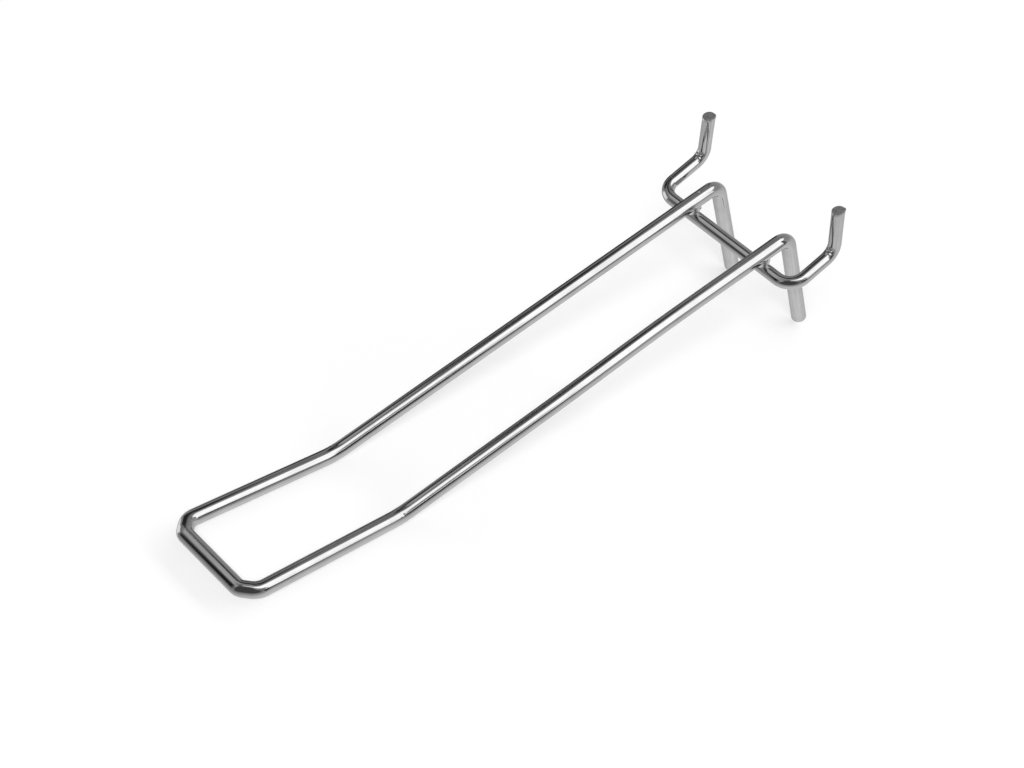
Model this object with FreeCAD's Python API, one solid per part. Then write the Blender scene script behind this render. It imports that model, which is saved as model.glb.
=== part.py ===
import FreeCAD, Part
import math
import os

# Double pegboard hook, made of two bent wires welded where they cross.
# The board's front face is the plane y = 0, and the hook reaches forward along -Y.
# The origin lies midway between the pegs, on the axes of the runs that pass through the holes.
# Lengths are in millimetres and angles in degrees. Bend radii are on the wire's axis.

# Loop wire
loop_diameter = 4.2
arm_spacing = 26.7
front_spacing = 28.7
arm_length = 133.3
arm_angle = 8.3
tip_length = 47.2
tip_angle = 14.7
leg_length = 37.2
leg_bend = 4.3
knee_bend = 25.0
front_cut = 3.35
front_tip_bend = 4.5
front_bar_bend = 2.5
leg_end_round = 0.5

# Peg wire
peg_diameter = 3.6
peg_spacing = 50.0
peg_reach = 3.4
peg_height = 15.1
peg_lean_angle = 15.0
peg_toe_in_angle = 2.4
cross_stand = 12.6
cross_bend = 5.0
peg_bend = 4.2
peg_end_bevel = 0.25

# Welds
weld_depth = 0.3
weld_reach = 2.5

sides = {"left": -1, "right": 1}
right_angle = 90


def direction(rise_angle):
    """Unit vector that points forward and rises by an angle."""
    angle = math.radians(rise_angle)
    return FreeCAD.Vector(0, -math.cos(angle), math.sin(angle))


arm_direction = direction(arm_angle)
tip_direction = direction(arm_angle + tip_angle)
arm_normal = direction(arm_angle + right_angle)

# The arms lie on the cross bar and sink into it by the weld depth.
cross_axis = FreeCAD.Vector(0, -cross_stand, 0)
axis_gap = (loop_diameter + peg_diameter) / 2 - weld_depth
arm_over_cross = cross_axis + arm_normal * axis_gap

# The legs lean on the board, so their axes stand off it by half a wire.
leg_axis_y = -loop_diameter / 2
arm_run = (arm_over_cross.y - leg_axis_y) / arm_direction.y
leg_corner = arm_over_cross - arm_direction * arm_run


def bent_path(corners, radii):
    """Joins straight runs through the corners with tangent arcs."""
    edges = []
    start = corners[0]
    for before, corner, after, radius in zip(corners, corners[1:], corners[2:], radii):
        back = (before - corner).normalize()
        ahead = (after - corner).normalize()
        half_angle = back.getAngle(ahead) / 2
        bisector = (back + ahead).normalize()
        trim = radius / math.tan(half_angle)
        middle = corner + bisector * (radius / math.sin(half_angle) - radius)
        bend_start = corner + back * trim
        bend_end = corner + ahead * trim
        edges.append(Part.LineSegment(start, bend_start).toShape())
        edges.append(Part.Arc(bend_start, middle, bend_end).toShape())
        start = bend_end
    edges.append(Part.LineSegment(start, corners[-1]).toShape())
    return Part.Wire(edges)


def bent_wire(corners, radii, diameter):
    """Sweeps a round section along the bent path."""
    section = Part.makeCircle(diameter / 2, corners[0], corners[1] - corners[0])
    return bent_path(corners, radii).makePipeShell([Part.Wire(section)], True, False)


def end_rims(wire, corners):
    """Rims of the two cut ends of a wire."""
    tolerance = 0.001
    rims = []
    for end in (corners[0], corners[-1]):
        for edge in wire.Edges:
            if isinstance(edge.Curve, Part.Circle) and (edge.Curve.Center - end).Length < tolerance:
                rims.append(edge)
    return rims


def loop_side(side):
    """Corners of one half of the loop, from the foot of the leg to the front bar.

    The front corner is bent in two steps, and the cut is how far from the corner each step lies."""
    across = FreeCAD.Vector(side * arm_spacing / 2, 0, 0)
    flare = FreeCAD.Vector(side * (front_spacing - arm_spacing) / 2, 0, 0)
    corner = leg_corner + across
    foot = corner - FreeCAD.Vector(0, 0, leg_length)
    knee = corner + arm_direction * arm_length
    front = knee + tip_direction * tip_length + flare
    tip_step = front + (knee - front).normalize() * front_cut
    bar_step = front - FreeCAD.Vector(side * front_cut, 0, 0)
    return [foot, corner, knee, tip_step, bar_step]


def make_loop_wire():
    """Legs, arms, knees and front bar, bent from one length of wire."""
    corners = loop_side(sides["left"]) + loop_side(sides["right"])[::-1]
    half_bends = [leg_bend, knee_bend, front_tip_bend, front_bar_bend]
    wire = bent_wire(corners, half_bends + half_bends[::-1], loop_diameter)
    return wire.makeFillet(leg_end_round, end_rims(wire, corners))


def peg_side(side):
    """Corners of one half of the peg wire, from the tip of the peg to the cross bar."""
    lean = math.radians(peg_lean_angle)
    toe_in = math.radians(peg_toe_in_angle)
    upright = FreeCAD.Vector(
        -side * math.sin(toe_in),
        math.cos(toe_in) * math.sin(lean),
        math.cos(toe_in) * math.cos(lean),
    )
    run_start = cross_axis + FreeCAD.Vector(side * peg_spacing / 2, 0, 0)
    run_end = FreeCAD.Vector(side * peg_spacing / 2, peg_reach, 0)
    return [run_end + upright * peg_height, run_end, run_start]


def make_peg_wire(loop_wire):
    """Cross bar, runs and pegs from one length of wire, bedded under the arms."""
    corners = peg_side(sides["left"]) + peg_side(sides["right"])[::-1]
    half_bends = [peg_bend, cross_bend]
    wire = bent_wire(corners, half_bends + half_bends[::-1], peg_diameter)
    wire = wire.makeChamfer(peg_end_bevel, end_rims(wire, corners))
    return wire.cut(loop_wire)


def make_weld(side, loop_wire, peg_wire):
    """Bead of melted metal that fills the wedge all round one crossing."""
    across = FreeCAD.Vector(side * arm_spacing / 2, 0, 0)
    contact = cross_axis + across + arm_normal * ((peg_diameter - weld_depth) / 2)
    bead = Part.makeSphere(weld_reach, contact)
    return bead.cut(loop_wire).cut(peg_wire)


def main():
    os.makedirs("parts", exist_ok=True)
    loop_wire = make_loop_wire()
    peg_wire = make_peg_wire(loop_wire)
    nodes = {"loop_wire": loop_wire, "peg_wire": peg_wire}
    for name, side in sides.items():
        nodes["weld_" + name] = make_weld(side, loop_wire, peg_wire)
    for name, shape in nodes.items():
        shape.exportStep("parts/" + name + ".step")
        print(name, "solids", len(shape.Solids), "volume", round(shape.Volume, 2))


main()
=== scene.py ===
import bpy, bmesh, math
from mathutils import Euler, Matrix, Vector


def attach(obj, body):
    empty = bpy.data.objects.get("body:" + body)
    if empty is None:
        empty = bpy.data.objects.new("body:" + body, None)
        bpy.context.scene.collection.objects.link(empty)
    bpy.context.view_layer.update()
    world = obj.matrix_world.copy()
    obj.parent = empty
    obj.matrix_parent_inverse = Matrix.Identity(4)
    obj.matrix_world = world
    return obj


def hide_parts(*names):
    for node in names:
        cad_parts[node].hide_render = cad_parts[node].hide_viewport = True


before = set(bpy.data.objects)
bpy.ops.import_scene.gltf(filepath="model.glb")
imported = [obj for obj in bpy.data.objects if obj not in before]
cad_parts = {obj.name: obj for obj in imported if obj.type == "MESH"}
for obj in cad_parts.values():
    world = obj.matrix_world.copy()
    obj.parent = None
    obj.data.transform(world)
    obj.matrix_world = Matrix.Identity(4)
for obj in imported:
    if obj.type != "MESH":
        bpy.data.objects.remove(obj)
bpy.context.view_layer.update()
scene = bpy.context.scene
scene.view_settings.view_transform = "Standard"
print("packed hook loaded")

sides = {"Left": -1, "Right": 1}
mm = 0.001
smoothAngle = math.radians(40)  # edges sharper than this stay crisp


def clearSelection():
    if bpy.context.mode != "OBJECT":
        bpy.ops.object.mode_set(mode="OBJECT")
    bpy.ops.object.select_all(action="DESELECT")


def pickOnly(piece):
    clearSelection()
    piece.select_set(True)
    bpy.context.view_layer.objects.active = piece


def selectVerts(piece, test):  # edit mode, vertices picked by their place
    bpy.ops.mesh.select_mode(type="VERT")
    bpy.ops.mesh.select_all(action="DESELECT")
    cage = bmesh.from_edit_mesh(piece.data)
    for v in cage.verts:
        if test(v):
            v.select_set(True)
    cage.select_flush(True)
    bmesh.update_edit_mesh(piece.data)


def selectFaces(piece, test):  # edit mode, faces picked by their shape and place
    bpy.ops.mesh.select_mode(type="FACE")
    bpy.ops.mesh.select_all(action="DESELECT")
    cage = bmesh.from_edit_mesh(piece.data)
    for face in cage.faces:
        face.select_set(test(face))
    bmesh.update_edit_mesh(piece.data)


# Wire bending: a ring of the wire's outline is fed straight and turned round a former

def startWire(name, end, heading, diameter, ringSides):
    clearSelection()
    bpy.ops.mesh.primitive_circle_add(vertices=ringSides, radius=diameter / 2, location=end,
                                      rotation=heading.to_track_quat("Z", "Y").to_euler())
    wire = bpy.context.object
    wire.name = wire.data.name = name
    # where each point was on the straight wire, for the drawn lines of the finish
    place = wire.data.attributes.new("wirePlace", "FLOAT_VECTOR", "POINT")
    for spot, v in zip(place.data, wire.data.vertices):
        spot.vector = (v.co.x, v.co.y, 0)
    wire.data.attributes.new("cutFace", "FLOAT", "POINT")  # 1 on the cropped ends
    bpy.ops.object.transform_apply(location=True, rotation=True, scale=True)
    bpy.ops.object.mode_set(mode="EDIT")
    bpy.ops.mesh.select_mode(type="EDGE")
    bpy.ops.mesh.select_all(action="SELECT")
    return wire


def payOut(wire, length):  # adds the length to the ring just made
    cage = bmesh.from_edit_mesh(wire.data)
    place = cage.verts.layers.float_vector["wirePlace"]
    for v in cage.verts:
        if v.select:
            v[place] = v[place] + Vector((0, 0, length))
    bmesh.update_edit_mesh(wire.data)


def feed(wire, travel, ringGap):
    steps = max(1, round(travel.length / ringGap))
    for step in range(steps):
        bpy.ops.mesh.extrude_region_move(TRANSFORM_OT_translate={"value": travel / steps})
        payOut(wire, travel.length / steps)


def bend(wire, centre, heading, ahead, radius, stepAngle):
    angle = heading.angle(ahead)
    steps = max(2, round(angle / math.radians(stepAngle)))
    axis = ahead.cross(heading).normalized()  # spin turns left-handed, so the axis is the reversed one
    for step in range(steps):
        bpy.ops.mesh.spin(steps=1, angle=angle / steps, center=centre, axis=axis)
        payOut(wire, radius * angle / steps)


def bendSeat(corners, i, radius):  # middle of the former, the way out to the corner, the ways in and on
    heading = (corners[i] - corners[i - 1]).normalized()
    ahead = (corners[i + 1] - corners[i]).normalized()
    out = (heading - ahead).normalized()
    centre = corners[i] - out * radius / math.cos(heading.angle(ahead) / 2)
    return centre, out, heading, ahead


def bendWire(name, corners, bends, shape):
    start = (corners[1] - corners[0]).normalized()
    wire = startWire(name, corners[0], start, shape["wireDiameter"], shape["ringSides"])
    at = corners[0]
    for i, (radius, stepAngle) in enumerate(bends, 1):
        centre, out, heading, ahead = bendSeat(corners, i, radius)
        trim = radius * math.tan(heading.angle(ahead) / 2)
        feed(wire, corners[i] - heading * trim - at, shape["ringGap"])
        bend(wire, centre, heading, ahead, radius, stepAngle)
        at = corners[i] + ahead * trim
    feed(wire, corners[-1] - at, shape["ringGap"])
    for end in (corners[0], corners[-1]):  # flat cut at each end
        selectVerts(wire, lambda v: v.is_boundary and (v.co - end).length < shape["wireDiameter"])
        bpy.ops.mesh.edge_face_add()
    bpy.ops.mesh.select_all(action="SELECT")
    bpy.ops.mesh.normals_make_consistent(inside=False)
    bpy.ops.mesh.select_all(action="DESELECT")
    return wire


def shift(wire, test, move, reach):  # drags the skin along, less and less over the reach
    selectVerts(wire, test)
    bpy.ops.transform.translate(value=move, use_proportional_edit=True, proportional_edit_falloff="SMOOTH",
                                proportional_size=reach, use_proportional_connected=True)


def pressBend(wire, corners, i, shape):  # the former squeezes the inside of a leg bend
    centre, out = bendSeat(corners, i, shape["legBend"])[:2]
    seat = centre + out * (shape["legBend"] - shape["wireDiameter"] / 2)
    shift(wire, lambda v: (v.co - seat).length < shape["pressGrip"],
          out * shape["legPress"], shape["pressReach"])


def pressLine(wire, seat, along, way, shape):  # groove across the inside of a peg bend
    def onLine(v):
        off = v.co - seat
        return abs(off.dot(along)) < shape["lineGrip"] and abs(off.dot(way)) < shape["lineSink"]

    shift(wire, onLine, -way * shape["lineDepth"], shape["lineReach"])


def nickWire(wire, middle, along, way, shape):  # straight edge of a tool, printed across the wire
    depth = shape["kneeNick"]
    seat = middle + way * (shape["wireDiameter"] / 2 - depth)

    def underTool(v):
        off = v.co - seat
        return abs(off.dot(along)) < shape["nickWidth"] / 2 and 0 < off.dot(way) < 3 * depth

    selectVerts(wire, underTool)
    bpy.ops.transform.resize(value=(1, 1, 0), orient_type="GLOBAL", orient_matrix_type="GLOBAL",
                             orient_matrix=(along, way.cross(along), way), center_override=seat)


def slantEnd(wire, end, away, shape, way, slant):  # the blade leans, so the end is lower on one side
    rim = shape["wireDiameter"] / 2
    across = (way - away * way.dot(away)).normalized()
    shift(wire, lambda v: (v.co - end - across * rim).length < shape["slantGrip"],
          -away * slant, math.pi * rim)


def cropEnd(wire, end, shape, ease, segments):  # eased rim and a cropped face
    rim = shape["wireDiameter"] / 2
    cutRings = 3

    def isCut(face):  # only the ends have faces with more than four corners
        return len(face.verts) > 4 and (face.calc_center_median() - end).length < rim

    selectFaces(wire, isCut)
    bpy.ops.mesh.bevel(offset=ease, segments=segments, affect="EDGES")
    selectFaces(wire, isCut)
    cage = bmesh.from_edit_mesh(wire.data)
    cut = cage.verts.layers.float["cutFace"]
    for v in cage.verts:
        if v.select:
            v[cut] = 1
    bmesh.update_edit_mesh(wire.data)
    for ring in range(cutRings):
        bpy.ops.mesh.inset(thickness=(rim - ease) / (cutRings + 1))
    bpy.ops.mesh.poke()
    bpy.ops.mesh.select_all(action="DESELECT")


def dragLip(wire, end, away, shape, way, lip):  # the blade drags a lip out where it leaves the wire
    rim = shape["wireDiameter"] / 2
    across = (way - away * way.dot(away)).normalized()
    shift(wire, lambda v: (v.co - end - across * rim).length < shape["lipGrip"],
          (across + away) * lip, shape["lipReach"])


def forward(rise):  # points away from the board and up by an angle
    return Vector((0, -math.cos(math.radians(rise)), math.sin(math.radians(rise))))


# Peg wire: cross bar, two runs through the holes and two pegs up behind the board
pegShape = {
    "wireDiameter": 3.6 * mm,
    "pegSpacing": 50 * mm,
    "pegReach": 3.4 * mm,
    "pegHeight": 15.1 * mm,
    "pegLean": 15.0,
    "pegToeIn": 2.4,
    "crossStand": 12.6 * mm,
    "crossBendLeft": 4.5 * mm,
    "crossBendRight": 5.0 * mm,
    "pegBend": 4.2 * mm,
    "lineGap": 0.62 * mm,  # the bending tool leaves two lines inside each peg bend
    "lineDepth": 0.16 * mm,
    "lineGrip": 0.06 * mm,  # half the width of a line
    "lineSink": 0.45 * mm,  # how far round the wire a line goes
    "lineReach": 0.28 * mm,
    "tipEase": 0.08 * mm,
    "tipEaseSteps": 2,
    "cropWay": (0.65, 0.74, -0.18),  # the way the blade went
    "tipSlant": {"Left": 0.75 * mm, "Right": 0.95 * mm},  # how much lower a cropped end is in front
    "slantGrip": 0.2 * mm,
    "tipLip": {"Left": 0.12 * mm, "Right": 0.18 * mm},
    "lipGrip": 0.4 * mm,
    "lipReach": 0.9 * mm,
    "ringSides": 40,
    "ringGap": 1.5 * mm,
    "pegStep": 2.5,  # degrees from ring to ring in a bend
    "crossStep": 5,
}
crossAxis = Vector((0, -pegShape["crossStand"], 0))


def pegCorners(side):
    lean, toeIn = math.radians(pegShape["pegLean"]), math.radians(pegShape["pegToeIn"])
    upright = Vector((-side * math.sin(toeIn), math.cos(toeIn) * math.sin(lean),
                      math.cos(toeIn) * math.cos(lean)))
    out = Vector((side * pegShape["pegSpacing"] / 2, 0, 0))
    runEnd = out + Vector((0, pegShape["pegReach"], 0))
    return [runEnd + upright * pegShape["pegHeight"], runEnd, crossAxis + out]


def makePegWire():
    corners = pegCorners(-1) + pegCorners(1)[::-1]
    pegTurn = (pegShape["pegBend"], pegShape["pegStep"])
    turns = [pegTurn, (pegShape["crossBendLeft"], pegShape["crossStep"]),
             (pegShape["crossBendRight"], pegShape["crossStep"]), pegTurn]
    wire = bendWire("pegWire", corners, turns, pegShape)
    for i in (1, len(corners) - 2):
        centre, out, heading, ahead = bendSeat(corners, i, pegShape["pegBend"])
        along = (heading + ahead).normalized()
        inside = centre + out * (pegShape["pegBend"] - pegShape["wireDiameter"] / 2)
        for way in (-1, 1):
            pressLine(wire, inside + along * way * pegShape["lineGap"] / 2, along, -out, pegShape)
    way = Vector(pegShape["cropWay"])
    for word, end, below in (("Left", corners[0], corners[1]), ("Right", corners[-1], corners[-2])):
        away = (end - below).normalized()
        slantEnd(wire, end, away, pegShape, -way, pegShape["tipSlant"][word])
        cropEnd(wire, end, pegShape, pegShape["tipEase"], pegShape["tipEaseSteps"])
        dragLip(wire, end, away, pegShape, way, pegShape["tipLip"][word])
    pickOnly(wire)
    bpy.ops.object.shade_smooth_by_angle(angle=smoothAngle)
    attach(wire, "root")
    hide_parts("peg_wire")
    return wire


# Loop wire: legs on the board, arms, knees, flared tips and the front bar in one length
loopShape = {
    "wireDiameter": 4.2 * mm,
    "armSpacing": 26.7 * mm,
    "frontSpacing": 28.7 * mm,
    "armLength": 133.3 * mm,
    "armRise": 8.3,
    "tipLength": 47.2 * mm,
    "tipRise": 14.7,
    "legLength": 37.2 * mm,
    "legBend": 4.3 * mm,
    "kneeBend": 25.0 * mm,
    "frontCut": 3.35 * mm,  # each front corner is bent in two steps, this far from it
    "frontTipBend": 4.5 * mm,
    "frontBarBend": 2.5 * mm,
    "legPress": 0.45 * mm,  # the former flattens the inside of each leg bend
    "pressGrip": 0.3 * mm,
    "pressReach": 2.2 * mm,
    "kneeNick": 0.05 * mm,  # a tool mark on top of each knee
    "nickWidth": 0.4 * mm,
    "nickLean": {"Left": -0.48, "Right": 0.80},  # how far the mark lies off the top
    "footEase": 0.38 * mm,
    "footEaseSteps": 4,
    "rightBow": 0.4 * mm,  # the right arm is a little bowed
    "bowPlace": 44 * mm,
    "bowGrip": 2.5 * mm,
    "bowReach": 44 * mm,
    "weldDepth": 0.3 * mm,
    "ringSides": 48,
    "ringGap": 2.0 * mm,
    "bendStep": 5,  # degrees from ring to ring in a bend
    "kneeStep": 0.6,
}
armWay = forward(loopShape["armRise"])
armTop = forward(loopShape["armRise"] + 90)
tipWay = forward(loopShape["armRise"] + loopShape["tipRise"])
# from the cross bar's axis up to an arm's
armGap = (loopShape["wireDiameter"] + pegShape["wireDiameter"]) / 2 - loopShape["weldDepth"]


def loopCorners(side):
    overCross = crossAxis + armTop * armGap
    corner = overCross - armWay * (overCross.y + loopShape["wireDiameter"] / 2) / armWay.y
    corner.x = side * loopShape["armSpacing"] / 2
    knee = corner + armWay * loopShape["armLength"]
    front = knee + tipWay * loopShape["tipLength"]
    front.x = side * loopShape["frontSpacing"] / 2
    tipStep = front + (knee - front).normalized() * loopShape["frontCut"]
    barStep = front - Vector((side * loopShape["frontCut"], 0, 0))
    return [corner - Vector((0, 0, loopShape["legLength"])), corner, knee, tipStep, barStep]


def makeLoopWire():
    corners = loopCorners(-1) + loopCorners(1)[::-1]
    turns = [(loopShape["legBend"], loopShape["bendStep"]),
             (loopShape["kneeBend"], loopShape["kneeStep"]),
             (loopShape["frontTipBend"], loopShape["bendStep"]),
             (loopShape["frontBarBend"], loopShape["bendStep"])]
    wire = bendWire("loopWire", corners, turns + turns[::-1], loopShape)
    last = len(corners) - 1
    for i, foot in ((1, corners[0]), (last - 1, corners[-1])):
        pressBend(wire, corners, i, loopShape)
        cropEnd(wire, foot, loopShape, loopShape["footEase"], loopShape["footEaseSteps"])
    for i, word in ((2, "Left"), (last - 2, "Right")):
        centre, out, heading, ahead = bendSeat(corners, i, loopShape["kneeBend"])
        way = (Vector((loopShape["nickLean"][word], 0, 0)) - out).normalized()
        nickWire(wire, centre + out * loopShape["kneeBend"], (heading + ahead).normalized(), way, loopShape)
    middle = corners[-2] + armWay * loopShape["bowPlace"]
    shift(wire, lambda v: (v.co - middle).length < loopShape["bowGrip"],
          Vector((-loopShape["rightBow"], 0, 0)), loopShape["bowReach"])
    pickOnly(wire)
    bpy.ops.object.shade_smooth_by_angle(angle=smoothAngle)
    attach(wire, "root")
    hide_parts("loop_wire")
    return wire


# Welds: melted metal drawn into the corner where an arm lies on the cross bar
weldShape = {
    "armStub": 6.0 * mm,
    "crossStub": 8.0 * mm,
    "sink": 0.03 * mm,  # the stubs end a hair under the wires' skin
    "stubSides": 48,
    "stubTaper": 0.88,
    "stubEnd": 0.45,  # points further from the middle than this share of the length are tapered
    "beadRadius": 2.3 * mm,
    "beadShift": (0.1, 0.5, 0.0),
    "dropRounds": 4,  # how often a ball's faces are split
    "voxel": 0.11 * mm,
    "smoothForce": 0.5,
    "smoothPasses": 100,
    # knobs of squeezed out metal: place from the crossing, radius
    "knobs": {"Left": [((1.6, 1.75, 0.0), 0.62)], "Right": [((1.45, 1.65, 0.0), 0.55)]},
    # spatter on the arm: distance from the leg corner, turn from the top, radius
    "spatter": {"Left": [(6.8, -6, 0.34), (2.9, -28, 0.28)], "Right": []},
    "spatterHeight": 0.7,  # frozen drops are flatter than a ball
}


def addStub(middle, heading, length, radius):  # short barrel that lies along a wire
    bpy.ops.mesh.primitive_cylinder_add(vertices=weldShape["stubSides"], radius=radius, depth=length,
                                        location=middle, rotation=heading.to_track_quat("Z", "Y").to_euler())
    stub = bpy.context.object
    nearEnd = length * weldShape["stubEnd"]
    bpy.ops.object.transform_apply(location=True, rotation=True, scale=True)
    bpy.ops.object.mode_set(mode="EDIT")
    for way in (-1, 1):
        selectVerts(stub, lambda v: (v.co - middle).dot(heading) * way > nearEnd)
        bpy.ops.transform.resize(value=(weldShape["stubTaper"],) * 3,
                                 center_override=middle + heading * way * length / 2)
    bpy.ops.object.mode_set(mode="OBJECT")
    return stub


def addDrop(middle, radius):
    bpy.ops.mesh.primitive_ico_sphere_add(subdivisions=weldShape["dropRounds"], radius=radius, location=middle)
    bpy.ops.object.transform_apply(location=True, rotation=True, scale=True)
    bpy.ops.object.shade_smooth()
    return bpy.context.object


def joinAs(name, parts):
    pickOnly(parts[0])
    for part in parts:
        part.select_set(True)
    bpy.ops.object.join()
    whole = bpy.context.object
    whole.name = whole.data.name = name
    return whole


def addSpatter(side, along, turn, radius):  # small drop frozen on an arm
    out = armTop * math.cos(math.radians(turn)) + Vector((math.sin(math.radians(turn)), 0, 0))
    foot = loopCorners(side)[1] + armWay * along * mm + out * loopShape["wireDiameter"] / 2
    drop = addDrop(foot, radius * mm)
    bpy.ops.object.mode_set(mode="EDIT")
    bpy.ops.mesh.select_all(action="SELECT")
    bpy.ops.transform.resize(value=(1, 1, weldShape["spatterHeight"]), orient_type="GLOBAL",
                             orient_matrix_type="GLOBAL", orient_matrix=(armWay, out.cross(armWay), out),
                             center_override=foot)
    bpy.ops.object.mode_set(mode="OBJECT")
    return drop


def makeWeld(word, side):
    onCross = crossAxis + Vector((side * loopShape["armSpacing"] / 2, 0, 0))
    onArm = onCross + armTop * armGap
    crossing = onCross + armTop * pegShape["wireDiameter"] / 2
    armRadius = loopShape["wireDiameter"] / 2 - weldShape["sink"]
    crossRadius = pegShape["wireDiameter"] / 2 - weldShape["sink"]
    clearSelection()
    parts = [addStub(onArm, armWay, weldShape["armStub"], armRadius),
             addStub(onCross, Vector((1, 0, 0)), weldShape["crossStub"], crossRadius),
             addDrop(crossing + Vector(weldShape["beadShift"]) * mm, weldShape["beadRadius"])]
    weld = joinAs("weld" + word, parts)
    knit = weld.modifiers.new("knit", "REMESH")
    knit.mode = "VOXEL"
    knit.voxel_size = weldShape["voxel"]
    knit.use_smooth_shade = True
    soften = weld.modifiers.new("soften", "SMOOTH")
    soften.factor = weldShape["smoothForce"]
    soften.iterations = weldShape["smoothPasses"]
    for modifier in ("knit", "soften"):
        bpy.ops.object.modifier_apply(modifier=modifier)
    drops = [addDrop(crossing + Vector(place) * mm, radius * mm) for place, radius in weldShape["knobs"][word]]
    drops += [addSpatter(side, *drop) for drop in weldShape["spatter"][word]]
    weld = joinAs("weld" + word, [weld] + drops)
    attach(weld, "root")
    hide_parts("weld_" + word.lower())
    return weld


pegWire = makePegWire()
loopWire = makeLoopWire()
welds = [makeWeld(word, side) for word, side in sides.items()]
print("wires bent and welds laid")


# Shader sums: a socket that can be added, multiplied and so on
class Flow:
    def __init__(self, tree, socket=None):
        self.tree, self.socket = tree, socket

    def node(self, kind, settings=None, values=None, out=0):
        made = self.tree.nodes.new(kind)
        for key, value in (settings or {}).items():
            if key == "stops":
                while len(made.color_ramp.elements) < len(value):
                    made.color_ramp.elements.new(1)
                for stop, (place, colour) in zip(made.color_ramp.elements, value):
                    stop.position, stop.color = place, colour
            else:
                setattr(made, key, value)
        for key, value in (values or {}).items():
            if isinstance(value, Flow):
                self.tree.links.new(value.socket, made.inputs[key])
            else:
                made.inputs[key].default_value = value
        return Flow(self.tree, made.outputs[out] if len(made.outputs) else None)

    def sum(self, operation, *terms):
        return self.node("ShaderNodeMath", {"operation": operation}, dict(enumerate(terms)))

    def __add__(self, other):
        return self.sum("ADD", self, other)

    def __sub__(self, other):
        return self.sum("SUBTRACT", self, other)

    def __rsub__(self, other):
        return self.sum("SUBTRACT", other, self)

    def __mul__(self, other):
        return self.sum("MULTIPLY", self, other)

    def __truediv__(self, other):
        return self.sum("DIVIDE", self, other)

    def __rtruediv__(self, other):
        return self.sum("DIVIDE", other, self)

    __radd__, __rmul__ = __add__, __mul__

    def ramp(self, low, high):  # 0 below low, 1 above high, eased between
        return self.node("ShaderNodeMapRange", {"interpolation_type": "SMOOTHSTEP"},
                         {"Value": self, "From Min": low, "From Max": high})

    def blend(self, first, second):  # colours mixed by this value
        return self.node("ShaderNodeMix", {"data_type": "RGBA"}, {"Factor": self, 6: first, 7: second}, 2)

    def noise(self, size, detail):  # cloudy noise over this place
        return self.node("ShaderNodeTexNoise", {}, {"Vector": self, "Scale": 1 / size, "Detail": detail})


def newFinish(name):
    finish = bpy.data.materials.new(name)
    finish.use_nodes = True
    finish.node_tree.nodes.clear()
    return finish, Flow(finish.node_tree)


def grey(level):
    return (level, level, level, 1)


# Bright plated wire with the lines that the drawing die left along it
wireFinish = {
    "metal": 0.50,
    "dullMetal": 0.40,
    "edge": 0.75,
    "roughness": 0.085,
    "streakRoughness": 0.08,
    "streakWidth": 0.35 * mm,
    "streakLength": 30 * mm,
    "streakDetail": 4,
    "streakRange": (0.35, 0.68),
    "streakShare": 0.6,  # of the dullness, and patches make the rest
    "streakDepth": 0.0022 * mm,
    "patchSize": 5 * mm,
    "patchDetail": 3,
    "patchRange": (0.35, 0.7),
    "patchShare": 0.4,
    "waveWidth": 0.8 * mm,
    "waveLength": 110 * mm,
    "waveDetail": 2,
    "waveDepth": 0.007 * mm,
    "grainSize": 0.25 * mm,
    "grainDetail": 2,
    "grainDepth": 0.0004 * mm,
    "drawnRoughness": 0.6,  # of the noise itself
    "cutMetal": 0.34,
    "cutPale": 0.50,
    "cutGrain": 0.5 * mm,
    "cutDetail": 3,
    "cutRange": (0.42, 0.66),
    "cutRoughness": 0.42,
}


def makeWireFinish():
    finish, flow = newFinish("platedWire")
    place = flow.node("ShaderNodeAttribute", {"attribute_name": "wirePlace"}, out=1)
    cut = flow.node("ShaderNodeAttribute", {"attribute_name": "cutFace"}, out=2)

    def drawnNoise(width, length, detail):  # noise pulled out along the wire
        scale = (1 / width, 1 / width, 1 / length)
        pulled = flow.node("ShaderNodeMapping", {}, {"Vector": place, "Scale": scale})
        return flow.node("ShaderNodeTexNoise", {}, {"Vector": pulled, "Scale": 1, "Detail": detail,
                                                    "Roughness": wireFinish["drawnRoughness"]})

    streak = drawnNoise(wireFinish["streakWidth"], wireFinish["streakLength"], wireFinish["streakDetail"])
    wave = drawnNoise(wireFinish["waveWidth"], wireFinish["waveLength"], wireFinish["waveDetail"])
    patch = place.noise(wireFinish["patchSize"], wireFinish["patchDetail"])
    grain = place.noise(wireFinish["grainSize"], wireFinish["grainDetail"])
    drawn = streak.ramp(*wireFinish["streakRange"])
    dull = drawn * wireFinish["streakShare"] + patch.ramp(*wireFinish["patchRange"]) * wireFinish["patchShare"]
    colour = dull.blend(grey(wireFinish["metal"]), grey(wireFinish["dullMetal"]))
    tear = flow.node("ShaderNodeTexCoord", out=3).noise(wireFinish["cutGrain"], wireFinish["cutDetail"])
    torn = tear.ramp(*wireFinish["cutRange"]).blend(grey(wireFinish["cutMetal"]), grey(wireFinish["cutPale"]))
    colour = cut.blend(colour, torn)
    rough = dull * wireFinish["streakRoughness"] + wireFinish["roughness"] + cut * wireFinish["cutRoughness"]
    relief = {}  # each bump lies on the one before
    for height, depth in ((wave, "waveDepth"), (streak, "streakDepth"), (grain, "grainDepth")):
        bump = {"Height": height, "Distance": wireFinish[depth], "Strength": 1}
        relief["Normal"] = flow.node("ShaderNodeBump", {}, {**bump, **relief})
    metal = flow.node("ShaderNodeBsdfPrincipled", {}, {"Base Color": colour, "Metallic": 1, "Roughness": rough,
                                                       "Specular Tint": grey(wireFinish["edge"]), **relief})
    flow.node("ShaderNodeOutputMaterial", {}, {"Surface": metal})
    return finish


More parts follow.
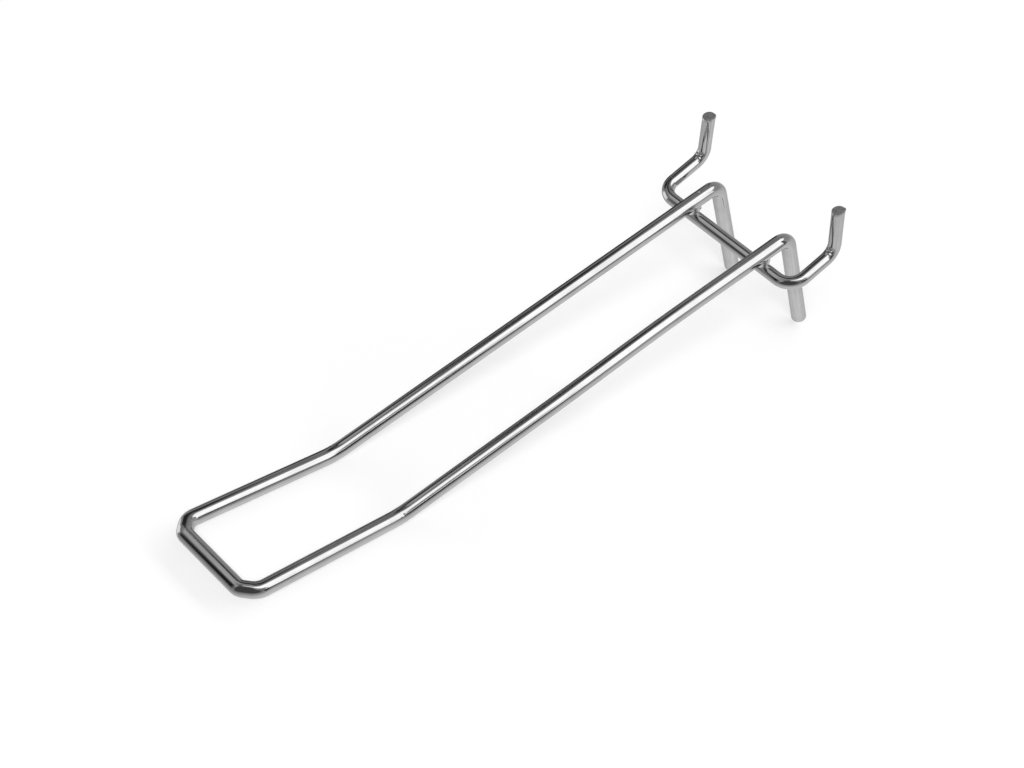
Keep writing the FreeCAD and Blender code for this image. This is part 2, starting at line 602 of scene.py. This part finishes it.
# Weld metal, duller and without lines
weldFinish = {
    "metal": 0.56,
    "dullMetal": 0.46,
    "roughness": 0.22,
    "scaleRoughness": 0.10,
    "scaleSize": 1.1 * mm,
    "scaleDetail": 4,
    "scaleRange": (0.4, 0.7),
    "rippleDepth": 0.003 * mm,
}


def makeWeldFinish():
    finish, flow = newFinish("weldMetal")
    cloud = flow.node("ShaderNodeTexCoord", out=3).noise(weldFinish["scaleSize"], weldFinish["scaleDetail"])
    dull = cloud.ramp(*weldFinish["scaleRange"])
    colour = dull.blend(grey(weldFinish["metal"]), grey(weldFinish["dullMetal"]))
    rough = dull * weldFinish["scaleRoughness"] + weldFinish["roughness"]
    relief = flow.node("ShaderNodeBump", {}, {"Height": cloud, "Distance": weldFinish["rippleDepth"],
                                              "Strength": 1})
    metal = flow.node("ShaderNodeBsdfPrincipled", {}, {"Base Color": colour, "Metallic": 1, "Roughness": rough,
                                                       "Normal": relief})
    flow.node("ShaderNodeOutputMaterial", {}, {"Surface": metal})
    return finish


platedWire = makeWireFinish()
weldMetal = makeWeldFinish()
for piece, finish in [(pegWire, platedWire), (loopWire, platedWire)] + [(weld, weldMetal) for weld in welds]:
    piece.data.materials.clear()
    piece.data.materials.append(finish)
print("finishes made")


# Studio: pale floor that the hook lies on, two soft lamps, and a tent of cloths that the metal mirrors
studio = {
    "floorWidth": 1.6,
    "floorCentre": (0, -0.09, 0),
    "fadeFrom": 0.30, "fadeTo": 0.70,  # far from the hook the floor turns into the white room
    "floorPaint": 0.50,
    "floorGlow": 0.524,
    "ambient": 0.30,
    "lowLamp": {"azimuth": 0, "height": 0, "distance": 2.5, "width": 5.0, "depth": 0.55, "power": 66},
    "highLamp": {"azimuth": 112.5, "height": 62.5, "distance": 2.5, "width": 1.0, "depth": 1.0, "power": 38},
    "tentRadius": 0.5,
    "tentCentre": (0, -0.07, 0),
    "tentSegments": 48, "tentRings": 24,
    "tentTilt": 0.15,  # low down, the right side of the wall is the brighter one
    "tiltLevel": 0.5,
    # grey of the tent's wall at each height in degrees
    "wall": [(-90, 1.15), (-40, 0.87), (-20, 0.78), (-3, 0.46), (8, 0.46),
             (20, 0.39), (35, 0.25), (48, 0.37), (58, 0.72), (90, 0.12)],
}

# Cloths on the tent's wall, each over the ones before: azimuth in degrees from the back towards the right,
# height in degrees, how much it climbs with the azimuth, and the width of its faded edge
tentCloths = {
    "backCloth": {"from": -90, "to": 11, "low": 62, "high": 82, "lean": 0.59, "fade": 5, "grey": 0.03},
    "leftCloth": {"from": -77, "to": -47, "low": -14, "high": 22, "lean": 0.19, "fade": 5, "grey": 0.05},
    "lowSlit": {"from": -64, "to": -51, "low": 14.2, "high": 16, "lean": -0.48, "fade": 2, "grey": 1.1},
    "highSlit": {"from": -48, "to": -25, "low": 26, "high": 38, "lean": -0.78, "fade": 5, "grey": 0.3},
    "frontCloth": {"from": -166, "to": -138, "low": 8.7, "high": 50.5, "lean": -0.04, "fade": 25, "grey": 0.01},
    "sidePanel": {"from": -132, "to": -102, "low": -20, "high": 28, "lean": 0, "fade": 6, "grey": 1.5},
    "cameraCloth": {"from": 98, "to": 200, "low": 12, "high": 120, "lean": 0, "fade": 20, "grey": 0.09},
    "curtain": {"from": -12, "to": 8, "low": 35.8, "high": 40.3, "lean": 0.12, "fade": 8, "grey": 0.84},
    "pane": {"from": 4, "to": 50, "low": 25, "high": 120, "lean": -0.08, "fade": 5, "grey": 2.1},
    "window": {"from": 47, "to": 74, "low": -39, "high": 74, "lean": 0.83, "fade": 5, "grey": 2.1},
    "valance": {"from": -14, "to": 30, "low": 56, "high": 110, "lean": 0.4, "fade": 5, "grey": 0.5},
    "veil": {"from": 60, "to": 78, "low": 5, "high": 25, "lean": 0.34, "fade": 5, "grey": 0.45},
    "sill": {"from": 65, "to": 90, "low": 3, "high": 24, "lean": 0, "fade": 5, "grey": 0.04},
}


def towards(azimuth, height):
    a, h = math.radians(azimuth), math.radians(height)
    return Vector((math.sin(a) * math.cos(h), math.cos(a) * math.cos(h), math.sin(h)))


def makeFloor():
    foot, front = loopCorners(1)[0], loopCorners(1)[-1]
    radius = loopShape["wireDiameter"] / 2
    # the plane touches the heel of the feet and the underside of the front bar
    heel = foot - Vector((0, radius, 0))
    reach = front - heel
    tilt = math.atan2(reach.z, -reach.y) - math.asin(radius / math.hypot(reach.y, reach.z))
    clearSelection()
    bpy.ops.mesh.primitive_plane_add(size=studio["floorWidth"], location=studio["floorCentre"],
                                     rotation=(-tilt, 0, 0))
    floor = bpy.context.object
    floor.name = floor.data.name = "floor"
    normal = Vector((0, math.sin(tilt), math.cos(tilt)))
    floor.location = floor.location + normal * (heel - floor.location).dot(normal)
    finish, flow = newFinish("paleFloor")
    glow = flow.node("ShaderNodeEmission", {}, {"Color": grey(studio["floorGlow"]), "Strength": 1})
    paint = flow.node("ShaderNodeBsdfDiffuse", {}, {"Color": grey(studio["floorPaint"])})
    face = flow.node("ShaderNodeAddShader", {}, {0: glow, 1: paint})
    place = flow.node("ShaderNodeTexCoord", out=3)
    away = flow.node("ShaderNodeVectorMath", {"operation": "LENGTH"}, {0: place}, 1)
    room = flow.node("ShaderNodeEmission", {}, {"Color": grey(1), "Strength": 1})
    far = away.ramp(studio["fadeFrom"], studio["fadeTo"])
    top = flow.node("ShaderNodeMixShader", {}, {0: far, 1: face, 2: room})
    under = flow.node("ShaderNodeNewGeometry", out=6)
    through = flow.node("ShaderNodeBsdfTransparent")  # seen from below, the floor is clear
    both = flow.node("ShaderNodeMixShader", {}, {0: under, 1: top, 2: through})
    flow.node("ShaderNodeOutputMaterial", {}, {"Surface": both})
    floor.data.materials.append(finish)
    floor.visible_glossy = False  # the metal mirrors the tent's pale foot instead


def makeTent():  # seen only by the metal
    clearSelection()
    bpy.ops.mesh.primitive_uv_sphere_add(segments=studio["tentSegments"], ring_count=studio["tentRings"],
                                         radius=studio["tentRadius"], location=studio["tentCentre"])
    tent = bpy.context.object
    tent.name = tent.data.name = "tent"
    finish, flow = newFinish("tentCloth")
    place = flow.node("ShaderNodeTexCoord", out=3)
    way = flow.node("ShaderNodeVectorMath", {"operation": "NORMALIZE"}, {0: place})
    x, y, z = [flow.node("ShaderNodeSeparateXYZ", {}, {0: way}, axis) for axis in range(3)]
    degrees = 180 / math.pi
    azimuth = flow.sum("ARCTAN2", x, y) * degrees
    height = flow.sum("ARCSINE", z) * degrees
    pole, span = 90, 180  # degrees from the horizon to the top, and from bottom to top
    stops = [((at + pole) / span, grey(level)) for at, level in studio["wall"]]
    wall = flow.node("ShaderNodeValToRGB", {"stops": stops}, {0: (height + pole) / span})
    colour = wall * (x * (studio["tiltLevel"] - z) * studio["tentTilt"] + 1)
    for cloth in tentCloths.values():
        half = cloth["fade"] / 2
        edge = height - azimuth * cloth["lean"]
        right = azimuth.ramp(cloth["from"] - half, cloth["from"] + half)
        left = 1 - azimuth.ramp(cloth["to"] - half, cloth["to"] + half)
        above = edge.ramp(cloth["low"] - half, cloth["low"] + half)
        below = 1 - edge.ramp(cloth["high"] - half, cloth["high"] + half)
        colour = (right * left * (above * below)).blend(colour, grey(cloth["grey"]))
    glow = flow.node("ShaderNodeEmission", {}, {"Color": colour, "Strength": 1})
    flow.node("ShaderNodeOutputMaterial", {}, {"Surface": glow})
    finish.cycles.emission_sampling = "NONE"
    tent.data.materials.append(finish)
    tent.visible_camera = tent.visible_diffuse = tent.visible_shadow = tent.visible_transmission = False


def makeLamp(name):
    box = studio[name]
    away = towards(box["azimuth"], box["height"])
    clearSelection()
    bpy.ops.object.light_add(type="AREA", location=away * box["distance"] + Vector(studio["tentCentre"]),
                             rotation=away.to_track_quat("Z", "Y").to_euler())
    lamp = bpy.context.object
    lamp.name = name
    lamp.data.shape = "RECTANGLE"
    lamp.data.size, lamp.data.size_y = box["width"], box["depth"]
    lamp.data.energy = box["power"]
    lamp.visible_camera = lamp.visible_glossy = False  # the metal mirrors the tent's window instead


def makeWorld():
    world = bpy.data.worlds.new("whiteRoom")
    scene.world = world
    world.use_nodes = True
    world.node_tree.nodes.clear()
    flow = Flow(world.node_tree)
    rays = flow.node("ShaderNodeLightPath")  # its first socket is Is Camera Ray
    ports = rays.socket.node.outputs
    seen = sum((Flow(flow.tree, ports[ray]) for ray in ("Is Glossy Ray", "Is Transmission Ray")), rays)
    level = seen.ramp(0, 1) * (1 - studio["ambient"]) + studio["ambient"]
    backdrop = flow.node("ShaderNodeBackground", {}, {"Color": grey(1), "Strength": level})
    flow.node("ShaderNodeOutputWorld", {}, {"Surface": backdrop})


makeFloor()
makeTent()
makeLamp("lowLamp")
makeLamp("highLamp")
makeWorld()
print("studio set")


# Camera where the photograph was taken from
camera = {
    "place": (0.32415, -0.24901, 0.52763),
    "azimuth": 63.422,
    "height": 54.823,
    "roll": -17.927,
    "lens": 86.30,
    "sensor": 36,
    "clipStart": 0.01,
}


def makeCamera():
    clearSelection()
    bpy.ops.object.camera_add(location=camera["place"])
    eye = bpy.context.object
    eye.name = "photoCamera"
    level = Euler((math.radians(90 - camera["height"]), 0, math.radians(camera["azimuth"]))).to_matrix()
    eye.rotation_euler = (level @ Matrix.Rotation(math.radians(camera["roll"]), 3, "Z")).to_euler()
    eye.data.sensor_width = camera["sensor"]
    eye.data.lens = camera["lens"]
    eye.data.clip_start = camera["clipStart"]
    scene.camera = eye


makeCamera()
clearSelection()
